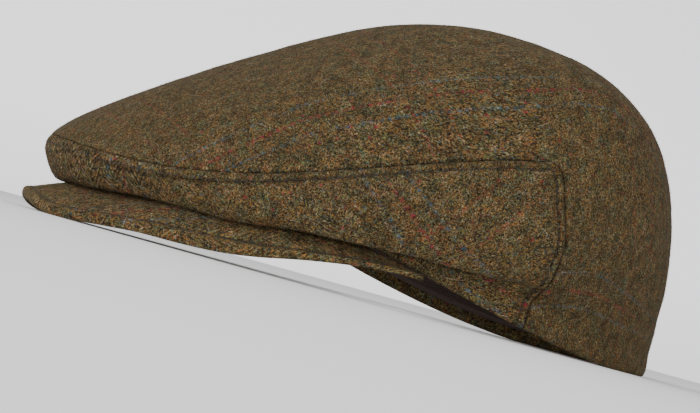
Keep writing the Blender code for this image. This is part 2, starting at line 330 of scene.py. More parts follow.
def crown(row, degrees):
    """Points of the crown's outer surface: the part's, with its turns eased as in cloth."""
    row, degrees = np.broadcast_arrays(np.asarray(row, float), np.asarray(degrees, float))
    turned = np.abs(degrees)
    # the seam's rear corner lies level
    corner = soft_step(turned, 86.5, 93) * (1 - soft_step(turned, 96, 108))
    row = row - 0.050 * (corner * bell(row - SEAM_ROW, 0.7))
    reach = 0.30 * (1 - soft_step(turned, 30, 65))
    reach = reach * soft_step(row, 1.2, 2.6) * (1 - soft_step(row, 6.0, 7.5))
    points = spline(row, degrees)
    front = reach > 0
    points[front] = sum(share / 16 * spline(row[front] + k * reach[front], degrees[front])
                        for k, share in ((-2, 1), (-1, 4), (0, 6), (1, 4), (2, 1)))
    points[..., 2] += hang(turned) * bell(row - 2.95, 0.85)
    # the strip below the side's fold is set in
    tuck = 1.8 * MM * soft_step(turned, 70, 84) * (1 - soft_step(turned, 97, 107))
    tuck = tuck * bell(row - 2.25, 0.45)
    away = np.maximum(np.hypot(points[..., 0], points[..., 1]), 0.01)
    points[..., :2] *= (1 - tuck / away)[..., None]
    return points


def outwards(row, degrees):
    """Unit normals of the crown's outer surface, level at the hem."""
    row, degrees = np.broadcast_arrays(np.asarray(row, float), np.asarray(degrees, float))
    row = np.minimum(row, TOP_ROW - 0.02)
    up = crown(row + 0.01, degrees) - crown(np.maximum(row - 0.01, 0), degrees)
    round_head = crown(row, degrees + 0.2) - crown(row, degrees - 0.2)
    normals = np.cross(round_head, up)
    normals[..., 2] = np.where(row == 0, 0.0, normals[..., 2])
    return unit(normals)


def rear_seam(row):
    """Angle of the rear seam at a row, in degrees: the part's, a little forward near its top."""
    rows, angles = np.array(REAR_SEAM).T
    slopes = np.gradient(angles, rows)
    row = np.asarray(row, float)
    k = np.clip(np.searchsorted(rows, row, side="right") - 1, 0, len(rows) - 2)
    span = rows[k + 1] - rows[k]
    t = (row - rows[k]) / span
    curve = (2 * t ** 3 - 3 * t ** 2 + 1) * angles[k] + (3 * t ** 2 - 2 * t ** 3) * angles[k + 1]
    lean = (t ** 3 - 2 * t ** 2 + t) * slopes[k] + (t ** 3 - t ** 2) * slopes[k + 1]
    return curve + span * lean - 2.5 * soft_step(row, 3.9, 4.6)


def per_degree(row, degrees):
    """Metres round the head per degree."""
    return np.linalg.norm(crown(row, degrees + 0.5) - crown(row, degrees - 0.5), axis=-1)


def per_row(row, degrees):
    """Metres up the section per row."""
    return np.linalg.norm(crown(row + 0.01, degrees) - crown(row - 0.01, degrees), axis=-1) / 0.02


def rows_above(row, degrees, wanted):
    """Row numbers that lie given distances up (or down) the section from a row."""
    fine = np.linspace(0, 1.2, 49) * np.sign(wanted[-1])
    length = run_length(crown((row + fine)[:, None], degrees))
    return row + np.stack([np.interp(np.abs(wanted), column, fine) for column in length.T], 1)


def hem_point(degrees, inward, up):
    """Points beside the hem: inward from its outer edge and up from its height."""
    angle = np.radians(degrees)
    point = rim_point(RIM_ROWS[0], angle)
    tangent = rim_point(RIM_ROWS[0], angle + 0.01) - rim_point(RIM_ROWS[0], angle - 0.01)
    tangent = unit(tangent[..., :2])
    return np.stack((point[..., 0] - inward * tangent[..., 1],
                     point[..., 1] + inward * tangent[..., 0],
                     point[..., 2] + up), -1)


# ---- relief of the cloth ----

def waves(points, count, longest, shortest, seed):
    """Soft random relief from -1 to 1: a sum of plane waves between two lengths."""
    rng = np.random.default_rng(seed)
    total = np.zeros(points.shape[:-1])
    for _ in range(count):
        direction = rng.normal(size=3)
        direction /= np.linalg.norm(direction)
        length = rng.uniform(shortest, longest)
        total += np.sin(points @ direction * 2 * math.pi / length + rng.uniform(0, 2 * math.pi))
    return total / math.sqrt(count) / 1.4


def soft_relief(points):
    """Gentle unevenness of wool cloth after pressing."""
    return (0.30 * MM * waves(points, 9, 0.085, 0.040, 4)
            + 0.12 * MM * waves(points, 14, 0.026, 0.011, 9))


def seam_depth(degrees):
    """Depth of the top seam's groove: slight at the front of the crown, deeper along its sides."""
    return (0.14 + 0.46 * soft_step(np.abs(degrees), 22, 58)) * MM


def seam_relief(distance, along, depth, stitched):
    """Relief beside a seam: the cloth rolls in, over its turned allowance."""
    ripple = np.sin(along / 4.6 / MM) + 0.6 * np.sin(along / 2.7 / MM + 1.3)
    relief = -depth * bell(distance, 0.75 * MM)
    relief = relief + 0.30 * depth * (1 + 0.25 * ripple) * bell(distance - 2.0 * MM, 1.1 * MM)
    if stitched:
        relief = relief - (0.10 * MM + 0.5 * depth) * bell(distance - STITCH_INSET, 0.65 * MM)
        relief = relief + 0.10 * MM * (1 + ripple) * bell(distance - 6.2 * MM, 2.2 * MM)
    else:
        relief = relief + 0.08 * MM * ripple * bell(distance - 5 * MM, 2.5 * MM)
    return relief


def painted_seam_shade(distance, along, stitched):
    """Painted shade beside a seam, from 0 to 1, standing for the shade in its groove and stitch
    holes: its line comes and goes.
    """
    uneven = 0.62 + 0.22 * np.sin(along / 1.37 / MM) + 0.15 * np.sin(along / 2.3 / MM + 2.0)
    uneven = uneven + 0.25 * np.sin(2 * math.pi * along / STITCH_PITCH)
    crease = np.clip(uneven, 0, 1) * bell(distance, 0.50 * MM)
    if stitched:
        crease = np.maximum(crease, 0.80 * bell(distance - STITCH_INSET, 0.60 * MM))
    return crease


# ---- lay of the cloth ----

def top_check(points):
    """Check coordinates on the top in millimetres, with how strongly its lines show."""
    x, y, z = points[..., 0], points[..., 1], points[..., 2]
    edge = np.abs(x)
    axis = np.interp(y, *np.array(CHECK_AXIS).T)
    turned = CHECK_RADIUS * np.arctan2(edge, z - axis)
    rear = soft_step(y, BACK_Y, 0.078) * (edge < 0.024)
    across = np.where(rear > 0, edge, turned) / MM
    a, b = y / 0.1, z / 0.1
    c, ca, cb, cab, caa = CHECK_RUN
    lengthwise = c + ca * a + cb * b + cab * a * b + caa * a * a
    apart = np.maximum(1 - soft_step(edge, 0.010, 0.016), soft_step(edge, 0.030, 0.042))
    return across, lengthwise, np.where(y > BACK_Y, apart, 1.0)


def polar_cloth(rows, degrees):
    """Cloth coordinates on the top in millimetres: as if spread out flat from its highest point."""
    steps = 180
    fine = np.linspace(TOP_ROW, 0, steps + 1)
    table = run_length(crown(fine[:, None], np.linspace(-180, 180, steps + 1)))
    reach = look_up(table, (TOP_ROW - rows) / TOP_ROW * steps, (degrees + 180) * steps / 360)
    angle = np.radians(degrees)
    return reach * np.sin(angle) / MM, -reach * np.cos(angle) / MM


def band_cloth(rows, degrees):
    """Cloth coordinates on a side panel in millimetres: a strip that curves as it was cut."""
    steps = 20
    angles = np.arange(113.0)
    fine = np.linspace(0, SEAM_ROW, steps * SEAM_ROW + 1)
    climb = run_length(crown(fine[:, None], angles))
    up = look_up(climb - climb[round(BAND_ROW * steps)], rows * steps, degrees)
    turn = np.interp(degrees, angles, run_length(crown(BAND_ROW, angles))) / BAND_BEND
    return ((BAND_BEND + up) * np.sin(turn) / MM,
            ((BAND_BEND + up) * np.cos(turn) - BAND_BEND) / MM)


# ---- materials ----

class Signal:
    """Output of a node, with which formulas are written in + - * and **."""

    def __init__(self, graph, socket):
        self.graph = graph
        self.socket = socket

    def __add__(self, other):
        return self.graph.math("ADD", self, other)

    def __sub__(self, other):
        return self.graph.math("SUBTRACT", self, other)

    def __rsub__(self, other):
        return self.graph.math("SUBTRACT", other, self)

    def __mul__(self, other):
        return self.graph.math("MULTIPLY", self, other)

    def __pow__(self, other):
        return self.graph.math("POWER", self, other)


class Graph:
    """Short way to build the nodes of a material or the world."""

    def __init__(self, owner, shader="Principled BSDF"):
        owner.use_nodes = True
        self.owner = owner
        self.tree = owner.node_tree
        self.shader = self.tree.nodes[shader]

    def put(self, node, name, value):
        socket = node.inputs[name]
        if isinstance(value, Signal):
            self.tree.links.new(value.socket, socket)
        elif value is not None:
            socket.default_value = value

    def node(self, kind, inputs, **settings):
        node = self.tree.nodes.new(kind)
        for name, value in settings.items():
            setattr(node, name, value)
        for name, value in inputs.items():
            self.put(node, name, value)
        return node

    def out(self, node, name=0):
        return Signal(self, node.outputs[name])

    def math(self, operation, a, b=None):
        return self.out(self.node("ShaderNodeMath", {0: a, 1: b}, operation=operation))

    def vector_math(self, operation, inputs):
        return self.out(self.node("ShaderNodeVectorMath", inputs, operation=operation))

    def at_least(self, value, low):
        return self.math("MAXIMUM", value, low)

    def mix(self, factor, a, b, blend="MIX"):
        a, b = (colour if isinstance(colour, Signal) else (*colour, 1) for colour in (a, b))
        return self.out(self.node("ShaderNodeMix", {0: factor, 6: a, 7: b},
                                  data_type="RGBA", blend_type=blend), 2)

    def tint(self, colour, other):
        return self.mix(1.0, colour, other, "MULTIPLY")

    def split(self, vector):
        node = self.node("ShaderNodeSeparateXYZ", {"Vector": vector})
        return self.out(node, 0), self.out(node, 1)

    def join(self, x, y):
        return self.out(self.node("ShaderNodeCombineXYZ", {"X": x, "Y": y}))

    def noise(self, vector, scale, detail=2.0, roughness=0.5, distortion=0.0, output="Fac"):
        inputs = {"Vector": vector, "Scale": scale, "Detail": detail,
                  "Roughness": roughness, "Distortion": distortion}
        return self.out(self.node("ShaderNodeTexNoise", inputs), output)

    def cells(self, vector, scale=1.0):
        """Colour of each of some random cells, and the distance from its middle."""
        node = self.node("ShaderNodeTexVoronoi", {"Vector": vector, "Scale": scale})
        return self.out(node, "Color"), self.out(node, "Distance")

    def ramp(self, factor, stops, interpolation="LINEAR"):
        node = self.node("ShaderNodeValToRGB", {0: factor})
        node.color_ramp.interpolation = interpolation
        elements = node.color_ramp.elements
        while len(elements) < len(stops):
            elements.new(1.0)
        for element, (place, colour) in zip(elements, stops):
            element.position = place
            element.color = (*colour, 1)
        return self.out(node, "Color")

    def channel(self, colour, number):
        return self.out(self.node("ShaderNodeSeparateColor", {"Color": colour}), number)

    def grey(self, value):
        return self.out(self.node("ShaderNodeCombineColor",
                                  {"Red": value, "Green": value, "Blue": value}))

    def jitter(self, vector, scale, reach):
        """A place moved at random, by up to about half of reach."""
        random = self.noise(vector, scale, 3.0, 0.6, output="Color")
        off = self.vector_math("SUBTRACT", {0: random, 1: (0.5, 0.5, 0.5)})
        far = self.vector_math("SCALE", {0: off, "Scale": reach})
        return self.vector_math("ADD", {0: vector, 1: far})

    def uv(self, name):
        return self.out(self.node("ShaderNodeUVMap", {}, uv_map=name), "UV")

    def attribute(self, name):
        return self.out(self.node("ShaderNodeAttribute", {}, attribute_name=name), "Fac")

    def step(self, value, low, high, start=0.0, end=1.0):
        """A soft step from start to end, between two values."""
        inputs = {"Value": value, "From Min": low, "From Max": high, "To Min": start, "To Max": end}
        return self.out(self.node("ShaderNodeMapRange", inputs, interpolation_type="SMOOTHSTEP"))

    def window(self, value, centre, half, soft):
        """1 where a value is within half of a centre, with a soft edge."""
        return self.step(self.math("ABSOLUTE", value - centre), half, half + soft, 1.0, 0.0)

    def finish(self, colour, roughness, specular, height=None, distance=0.0, strength=1.0):
        """Sets the shader's sockets, with a bump from a height, and gives the material."""
        normal = None
        if height is not None:
            normal = self.out(self.node("ShaderNodeBump", {"Height": height, "Distance": distance,
                                                           "Strength": strength}), "Normal")
        for name, value in (("Base Color", colour), ("Roughness", roughness),
                            ("Specular IOR Level", specular), ("Normal", normal)):
            self.put(self.shader, name, value)
        return self.owner


def tweed(name, value=0.67):
    """Milled heathered tweed in a faint herringbone, with a thin windowpane over it."""
    g = Graph(bpy.data.materials.new(name))
    cloth = g.uv("cloth")
    weave = g.attribute("weave")
    u, v = g.split(g.jitter(g.jitter(cloth, 0.25, 1.0), 1.1, 0.9))
    diagonal = v * 0.50 + g.math("PINGPONG", u, HERRINGBONE) * 0.87
    twill = g.math("SINE", diagonal * (2 * math.pi / TWILL))
    woven = twill * (weave * g.step(g.noise(cloth, 0.6), 0.34, 0.60))
    # yarns show where the weave does, and single fibres elsewhere
    yarn, _ = g.cells(g.join(diagonal * 1.50, v * 0.95))
    fibre, _ = g.cells(g.join(u * 2.7, v * 2.3))
    felted = g.noise(cloth, 0.9, 2.0, 0.6) - weave * 0.13
    wool = g.mix(g.step(felted, 0.38, 0.44), yarn, fibre)
    colour = g.ramp(g.channel(wool, 0) ** (1.0 - woven * 0.50), HEATHER, "CONSTANT")
    colour = g.tint(colour, g.ramp(woven * 0.5 + 0.5, WEAVE_TINTS))
    patch = g.noise(g.jitter(cloth, 0.2, 3.0), 0.18, 4.0, 0.66)
    colour = g.tint(colour, g.ramp(patch, PATCH_TINTS))
    relief = woven * 2.2 + twill * 0.35
    fine = g.noise(cloth, 2.1, 3.0, 0.8)
    curl = g.noise(cloth, 1.1, 4.0, 0.7, 2.2)
    blotch = g.noise(g.jitter(cloth, 0.3, 2.0), 0.16, 4.0, 0.66) * 2.2 - 0.08
    shade = (g.channel(wool, 1) * 0.44 + 0.78) * value
    shade = shade * (g.channel(fibre, 2) * 0.20 + 0.90) * (relief * 0.10 + 1.0)
    shade = shade * g.at_least(fine * 2.1 - 0.05, 0.1) * (g.noise(cloth, 0.03) * 0.30 + 0.85)
    # painted shade: the cloth is darkened along its seams and stitch lines
    shade = shade * g.at_least(blotch, 0.45) * (1.0 - g.attribute("crease") * 0.80)
    colour = g.tint(windowpane(g, burls(g, colour, cloth), cloth), g.grey(shade))
    # pale fibres raised by the milling
    colour = g.mix(g.step(curl, 0.60, 0.70) * 0.30, colour, (0.150, 0.108, 0.056))
    for socket, amount in (("Weight", 0.03), ("Roughness", 0.5), ("Tint", (0.85, 0.62, 0.36, 1))):
        g.put(g.shader, "Sheen " + socket, amount)
    return g.finish(colour, 0.95, 0.10, relief * 0.12 + fine + curl * 0.9, 0.45 * MM, 0.8)


def burls(g, colour, cloth):
    """A few larger burls of red, teal and green wool."""
    kind, distance = g.cells(g.jitter(cloth, 0.9, 1.2), 0.42)
    mask = g.step(g.channel(kind, 1), 0.925, 0.935) * (1.0 - g.step(distance, 0.14, 0.40))
    return g.mix(mask * 0.62, colour, g.ramp(g.channel(kind, 2), BURLS, "CONSTANT"))


def windowpane(g, colour, cloth):
    """Thin lines of the overcheck: blue, red, blue lengthwise, and pairs of rust crosswise."""
    sway = (g.noise(cloth, 0.11) - 0.5) * 2.4
    fuzz = (g.noise(cloth, 1.4) - 0.5) * 1.3
    u, v = (way + sway + fuzz for way in g.split(g.uv("check")))
    across = g.math("PINGPONG", u, REPEAT_ACROSS / 2)
    along = g.math("PINGPONG", v - PAIR_OFFSET, REPEAT_ALONG / 2)
    broken = g.step(g.noise(cloth, 0.10, 2.0, 0.6), 0.35, 0.52)
    gaps = g.step(g.noise(cloth, 0.85, 3.0, 0.8), 0.40, 0.54) * g.attribute("fade")
    stray = g.noise(cloth, 0.30) * 2.4

    def dotted(run):
        """The coloured yarn comes to the face at each turn of the weave."""
        dots = g.window(g.math("PINGPONG", run + stray, LINE_PITCH), 0.0, 0.38, 0.55)
        return broken * (dots * 0.80 + 0.20) * gaps

    lengthwise, crosswise = dotted(v), dotted(u)
    for place, middle, half, line, strength, dots in (
            (across, 0.0, 0.45, RED, 0.86, lengthwise),
            (across, BLUE_OFFSET, 0.42, BLUE, 0.66, lengthwise),
            (along, PAIR_OFFSET, 0.45, RUST, 0.50, crosswise)):
        mask = g.window(place, middle, half, 0.45) * dots
        colour = g.mix(mask * strength, colour, line)
    return colour


def ribbon():
    """Ribbed cotton ribbon of the sweatband."""
    g = Graph(bpy.data.materials.new("ribbed_ribbon"))
    u, v = g.split(g.uv("cloth"))
    level, up = g.split(g.uv("check"))
    smooth = g.step(up, 2.1, 2.5)
    ribbed = g.math("SINE", level * (2 * math.pi / RIB)) * smooth
    fine = g.noise(g.join(u * 3.0, v * 9.0), 1.0)
    # painted shade: the grooves between the ribs are coloured darker
    colour = g.ramp(ribbed * 0.5 + 0.5, RIBS_PAINTED_SHADE)
    colour = g.mix((1.0 - smooth) * 0.8, colour, (0.058, 0.040, 0.034))
    g.put(g.shader, "Sheen Weight", 0.08)
    return g.finish(g.tint(colour, g.grey(fine * 0.5 + 0.75)), 0.82, 0.25,
                    ribbed + fine * 0.3, 0.22 * MM, 0.9)


def thread():
    """Sewing thread, two strands twisted: its own dark brown, painted near black as painted shade of
    the holes its stitches sink into.
    """
    g = Graph(bpy.data.materials.new("sewing_thread"))
    u, v = g.split(g.uv("cloth"))
    twist = g.math("SINE", (u + v * 0.5) * 12.0)
    colour = g.mix(twist * 0.4 + 0.5, (0.007, 0.005, 0.003), (0.018, 0.012, 0.007))
    return g.finish(colour, 0.7, 0.5, twist, 0.1 * MM, 0.5)


def wool_fibres():
    """Single wool fibres, each of one colour."""
    g = Graph(bpy.data.materials.new("wool_fibres"))
    u, _ = g.split(g.uv("cloth"))
    return g.finish(g.ramp(u, FIBRES), 0.85, 0.2)


# ---- meshes ----

def link(name, mesh, material):
    mesh.materials.append(material)
    obj = bpy.data.objects.new(name, mesh)
    bpy.context.scene.collection.objects.link(obj)
    return obj


def new_object(name, points, faces, material, node=None, closed=True):
    """Piece in head coordinates; it stands for a node of the frame if one is named."""
    mesh = bpy.data.meshes.new(name)
    mesh.from_pydata((np.asarray(points, float) + HEAD).tolist(), [], faces)
    mesh.update()
    if closed:
        bm = bmesh.new()
        bm.from_mesh(mesh)
        bmesh.ops.recalc_face_normals(bm, faces=bm.faces)
        bm.to_mesh(mesh)
        bm.free()
        mesh.shade_smooth()
    obj = link(name, mesh, material)
    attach(obj, "root")
    if node:
        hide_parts(node)
    return obj


def read(items, name, width=1, kind=float):
    """Values of a mesh's points, corners or triangles, a row for each."""
    values = np.empty(len(items) * width, dtype=kind)
    items.foreach_get(name, values)
    return values.reshape(-1, width)


def add_uv(obj, name, u, v):
    """UV layer from a pair of values at each vertex."""
    index = read(obj.data.loops, "vertex_index", kind=np.int64)[:, 0]
    layer = obj.data.uv_layers.new(name=name)
    layer.data.foreach_set("uv", np.stack((u[index], v[index]), -1).astype(np.float32).ravel())


def dye(obj, cloth, check, fade=1.0, weave=0.5, crease=0.0):
    """What a piece's tweed reads; values of an outer surface are repeated for the inner one."""
    def spread(values):
        return np.resize(np.ravel(values), len(obj.data.vertices))

    for name, (u, v) in (("cloth", cloth), ("check", check)):
        add_uv(obj, name, spread(u), spread(v))
    # the last attribute is painted shade along the seams and stitch lines
    for name, values in (("fade", fade), ("weave", weave), ("crease", crease)):
        layer = obj.data.attributes.new(name, "FLOAT", "POINT")
        layer.data.foreach_set("value", spread(values).astype(np.float32))


def grid_faces(index):
    """Quads between the neighbours of a grid of vertex numbers."""
    corners = index[:-1, :-1], index[:-1, 1:], index[1:, 1:], index[1:, :-1]
    return np.stack(corners, -1).reshape(-1, 4).tolist()


def loop_faces(count, size, closed):
    """Faces joining loops of points in order, capped at both ends unless the loops close a ring."""
    index = np.arange(count * size).reshape(count, size)
    rows = np.concatenate((index, index[:1])) if closed else index
    faces = grid_faces(np.concatenate((rows, rows[:, :1]), 1))
    if not closed:
        faces += [index[0].tolist()[::-1], index[-1].tolist()]
    return faces


class Skin:
    """Outer surface in patches with shared vertices, closed into a wall with its inner surface."""

    def __init__(self):
        self.patches = []
        self.count = 0
        self.faces = []

    def patch(self, outer, inner, rows, degrees):
        shape = outer.shape[:-1]
        index = np.arange(self.count, self.count + math.prod(shape)).reshape(shape)
        self.count += index.size
        self.patches.append((outer.reshape(-1, 3), inner.reshape(-1, 3),
                             np.broadcast_to(rows, shape).ravel(),
                             np.broadcast_to(degrees, shape).ravel()))
        return index

    def finish(self, name, material, node):
        """The piece, with the points, rows and angles of its outer surface."""
        outer, inner, rows, degrees = (np.concatenate(parts) for parts in zip(*self.patches))
        count = len(outer)
        edges = {}
        for face in self.faces:
            for a, b in zip(face, face[1:] + face[:1]):
                if (b, a) in edges:
                    del edges[(b, a)]
                else:
                    edges[(a, b)] = True
        faces = self.faces + [[count + k for k in reversed(face)] for face in self.faces]
        faces += [[b, a, count + a, count + b] for a, b in edges]
        obj = new_object(name, np.concatenate((outer, inner)), faces, material, node)
        return obj, outer, rows, degrees


def dress(rows, degrees, relief):
    """Outer and inner points of a patch: the outer ones with relief and a rolled hem."""
    points = crown(rows, degrees)
    normals = outwards(rows, degrees)
    rise = rows * per_row(0.3, degrees)
    outer = points + normals * (relief * soft_step(rise, 0.0, 6 * MM))[..., None]
    under = np.clip(1 - rise / HEM_ROLL, 0, 1)
    outer = outer - normals * (0.97 * WALL * (1 - np.sqrt(1 - under ** 2)))[..., None]
    inner = points - normals * WALL
    for surface in (outer, inner):
        surface[..., 2] = np.maximum(surface[..., 2], 0.0)
    return outer, inner


def side_rows(degrees):
    """Rows of a side panel's columns, from hem to seam, closer beside the seam."""
    near = rows_above(SEAM_ROW, degrees, -np.array(SEAM_STEPS) * MM)[::-1]
    low = np.concatenate((HEM_STEPS, np.arange(1, SIDE_STEPS_END, SIDE_STEP)))
    low = np.repeat(low[:, None], len(degrees), 1)
    rest = low[-1] + (near[0] - low[-1]) * np.linspace(0, 1, SIDE_JOINING_ROWS)[1:-1, None]
    return np.concatenate((low, rest, near))


def stitch_line(outer, normals, rows):
    """Line of the topstitching on a side panel: below the top seam, then beside the rear seam."""
    high, low = SEAM_STEPS.index(3.3) + 1, SEAM_STEPS.index(3.7) + 1
    last = int(np.searchsorted(rows[:, -1], 0.35))

    def path(grid):
        across = (grid[-high, 1:-low + 1] + grid[-low, 1:-low + 1]) / 2
        down = ((grid[last:-low, -high] + grid[last:-low, -low]) / 2)[::-1]
        return np.concatenate((across, down))

    return path(outer), unit(path(normals))


def side_panel(side, material):
    """Side of the crown, from the middle of the front to the rear seam, and its stitches' line."""
    at = np.linspace(0, 1, SIDE_COLUMNS + 1)
    rows = side_rows(at * rear_seam(SEAM_ROW))
    finish = rear_seam(rows)
    scale = per_degree(rows, finish)
    body = at * (finish - SIDE_MARGIN / scale) + EDGE / per_degree(rows, 0.0 * rows) * (1 - at)
    ends = [finish[:, -1] - step * MM / scale[:, -1] for step in SEAM_STEPS[-2::-1]]
    degrees = np.concatenate((body, np.stack(ends, 1)), 1)
    rows = np.concatenate((rows, np.repeat(rows[:, -1:], len(ends), 1)), 1)
    # distances from its three seams, and along them
    seam = np.abs(SEAM_ROW - rows) * per_row(np.clip(rows, 4.2, 4.98), degrees)
    back = (rear_seam(rows) - degrees) * per_degree(rows, degrees)
    front = degrees * per_degree(rows, degrees)
    run = run_length(crown(4.9, degrees[-1]))
    climb = rows * ROW_HEIGHT

    clear = soft_step(back, 1.2 * MM, 2.6 * MM)
    relief = seam_relief(seam, run, seam_depth(degrees), True) * clear
    clear = soft_step(seam, 1.2 * MM, 2.6 * MM)
    relief = relief + seam_relief(back, climb, REAR_DEPTH, True) * clear
    relief = relief + seam_relief(front, climb, FRONT_DEPTH, False) * soft_step(rows, 2.2, 3.2)
    relief = relief - 0.3 * MM * bell(np.hypot(seam, back), 1.5 * MM)
    # painted shade along the top, rear and front seams and the topstitching
    plain = soft_step(back, 1.5 * MM, 3.0 * MM) * (0.35 + 0.65 * soft_step(degrees, 15, 50))
    rear = painted_seam_shade(back, climb, True) * soft_step(seam, 1.5 * MM, 3.0 * MM)
    crease = np.maximum(painted_seam_shade(seam, run, True) * plain, rear)
    crease = np.maximum(crease, 0.6 * painted_seam_shade(front, climb, False))

    flip = np.array((side, 1, 1))
    calm = soft_step(seam, 0, 8 * MM) * soft_step(rows, 1.0, 2.6)
    relief = relief + soft_relief(crown(rows, degrees) * flip) * calm
    outer, inner = dress(rows, degrees, relief)
    line, lean = stitch_line(outer, outwards(rows, degrees), rows)
    skin = Skin()
    skin.faces = grid_faces(skin.patch(outer * flip, inner * flip, rows, degrees))
    name = "left" if side > 0 else "right"
    obj, _, rows, degrees = skin.finish("side_tweed_" + name, material, "side_panel_" + name)

    cloth = np.stack(band_cloth(rows, degrees))
    across = SIDE_ACROSS @ cloth
    group = np.where(across < sum(SIDE_GROUPS) / 2, *SIDE_GROUPS)
    dye(obj, (across * side, (-SIDE_ACROSS[1], SIDE_ACROSS[0]) @ cloth),
        (np.abs(across - group), PAIR_OFFSET + 0.85 * (SIDE_ALONG @ cloth - SIDE_PAIR)),
        weave=1.30 - 1.10 * soft_step(cloth[0], 45, 105), crease=crease)
    return obj, line * flip, lean * flip


def top_panel(material):
    """Top and back of the crown in one piece."""
    front_count, back_count = TOP_FRONT_COLUMNS, TOP_BACK_COLUMNS
    split = rear_seam(SEAM_ROW)
    front = np.linspace(0, 1, front_count + 1)[:-1]
    back = np.linspace(0, 1, back_count + 1)
    half = np.concatenate((front * split, split + back * (180 - split)))
    full = np.concatenate((-half[::-1][:-1], half[:-1]))
    near = rows_above(SEAM_ROW, full, np.array(SEAM_STEPS) * MM)
    rest = near[-1] + (LAST_RING - near[-1]) * np.linspace(0, 1, TOP_RINGS)[1:, None]
    rows = np.concatenate((near, rest))
    degrees = np.broadcast_to(full, rows.shape)
    seam = (rows - SEAM_ROW) * per_row(np.clip(rows, 5.02, 5.6), degrees)
    run = run_length(crown(5.1, full))
    ahead = soft_step(split + 4 - np.abs(degrees), 0, 6)
    relief = seam_relief(seam, run, seam_depth(degrees), False) * ahead
    calm = 1 - ahead * (1 - soft_step(seam, 0, 8 * MM))
    relief = relief + soft_relief(crown(rows, degrees)) * calm
    # painted shade along the top seam
    painted_shades = [(painted_seam_shade(seam, run, False) * ahead).ravel(), np.zeros(1)]
    skin = Skin()
    index = skin.patch(*dress(rows, degrees, relief), rows, degrees)
    skin.faces = grid_faces(np.concatenate((index, index[:, :1]), 1))
    tip = np.array([[0.0, CROWN_TOP, CROWN_HEIGHT]])
    raised, under = tip + (0, 0, soft_relief(tip[0])), tip - (0, 0, WALL)
    tip_index = int(skin.patch(raised, under, TOP_ROW, 0.0)[0])
    ring = index[-1].tolist()
    skin.faces += [[a, b, tip_index] for a, b in zip(ring, ring[1:] + ring[:1])]

    # the back, below the seam's level: its columns meet those of the ring above
    start = 2 * front_count + back_count - 1
    columns = np.arange(start, start + 2 * back_count + 1) % len(full)
    sign = np.where(np.arange(len(columns)) <= back_count, 1, -1)
    rows = np.concatenate((HEM_STEPS, np.arange(1, 4.86, BACK_STEP), (4.9, 4.95, 4.99)))[:, None]
    seam_at = rear_seam(rows)
    edge = EDGE / per_degree(rows, seam_at)
    # they crowd towards the rear seam
    crowd = np.concatenate((back, back[::-1][1:])) ** BACK_CROWDING
    degrees = seam_at + edge + (180 - seam_at - edge) * crowd
    rows = np.broadcast_to(rows, degrees.shape)
    blend = soft_step(rows, 4.0, 5.0)
    degrees = degrees * (1 - blend) + np.abs(full[columns]) * blend
    degrees = np.maximum(degrees, seam_at + edge)
    side = (degrees - seam_at) * per_degree(rows, degrees)
    climb = rows * ROW_HEIGHT
    level = 1 - soft_step(rows, 4.6, 4.95)
    relief = seam_relief(side, climb, REAR_DEPTH, False) * level
    relief = relief + 1.2 * MM * bell(rows - 2.7, 1.1) * soft_step(degrees, 128, 155)
    calm = soft_step(side, 0, 8 * MM) * soft_step(rows, 0.8, 2.2)
    calm = np.maximum(calm, soft_step(rows, 4.5, 4.95))
    relief = relief + soft_relief(crown(rows, degrees * sign)) * calm
    # painted shade beside the rear seam
    painted_shades.append((painted_seam_shade(side, climb, False) * level).ravel())
    low = skin.patch(*dress(rows, degrees * sign, relief), rows, degrees * sign)
    skin.faces += grid_faces(np.concatenate((low, index[0][columns][None])))

    obj, outer, rows, degrees = skin.finish("top_tweed", material, "top_panel")
    across, lengthwise, fade = top_check(outer)
    dye(obj, polar_cloth(rows, degrees), (across, lengthwise), fade,
        weave=0.20, crease=np.concatenate(painted_shades))
    return obj


def hoop(name, corners, material, node):
    """Strip round the inside of the rim; corners are its section as (inward, up)."""
    degrees = np.linspace(-180, 180, RIM_COLUMNS + 1)[:-1]
    loops = np.stack([hem_point(degrees, inward, up) for inward, up in corners], 1)
    faces = loop_faces(len(degrees), len(corners), True)
    obj = new_object(name, loops.reshape(-1, 3), faces, material, node)
    run = run_length(loops[:, 0])
    along = np.repeat(np.abs(run - run[-1] / 2) / MM, len(corners))
    up = np.tile(np.array([b for _, b in corners]) / MM, len(degrees))
    return obj, along, up, loops[..., 2].ravel() / MM


def hem_facing(material):
    """Turned-in hem: a strip of the same tweed with a soft lower edge."""
    outer = WALL + 0.04 * MM
    inner = WALL + GAP + FACING_THICKNESS
    lean = FACING_LEAN
    fold = 1.7 * MM
    corners = [(outer, 0.0), (outer + lean / 2, FACING_HEIGHT / 2), (outer + lean, FACING_HEIGHT)]
    corners += [(inner + lean * t, fold + (FACING_HEIGHT - fold) * t)
                for t in (1.0, 0.75, 0.5, 0.25, 0.12)]
    corners += [(inner - fold + fold * math.cos(t), fold + fold * math.sin(t))
                for t in np.radians(np.linspace(0, -90, 7))]
    obj, along, up, _ = hoop("hem_facing_tweed", corners, material, "hem_facing")
    dye(obj, (along, up + 3.0), (along - 33.0, up - 30.0))


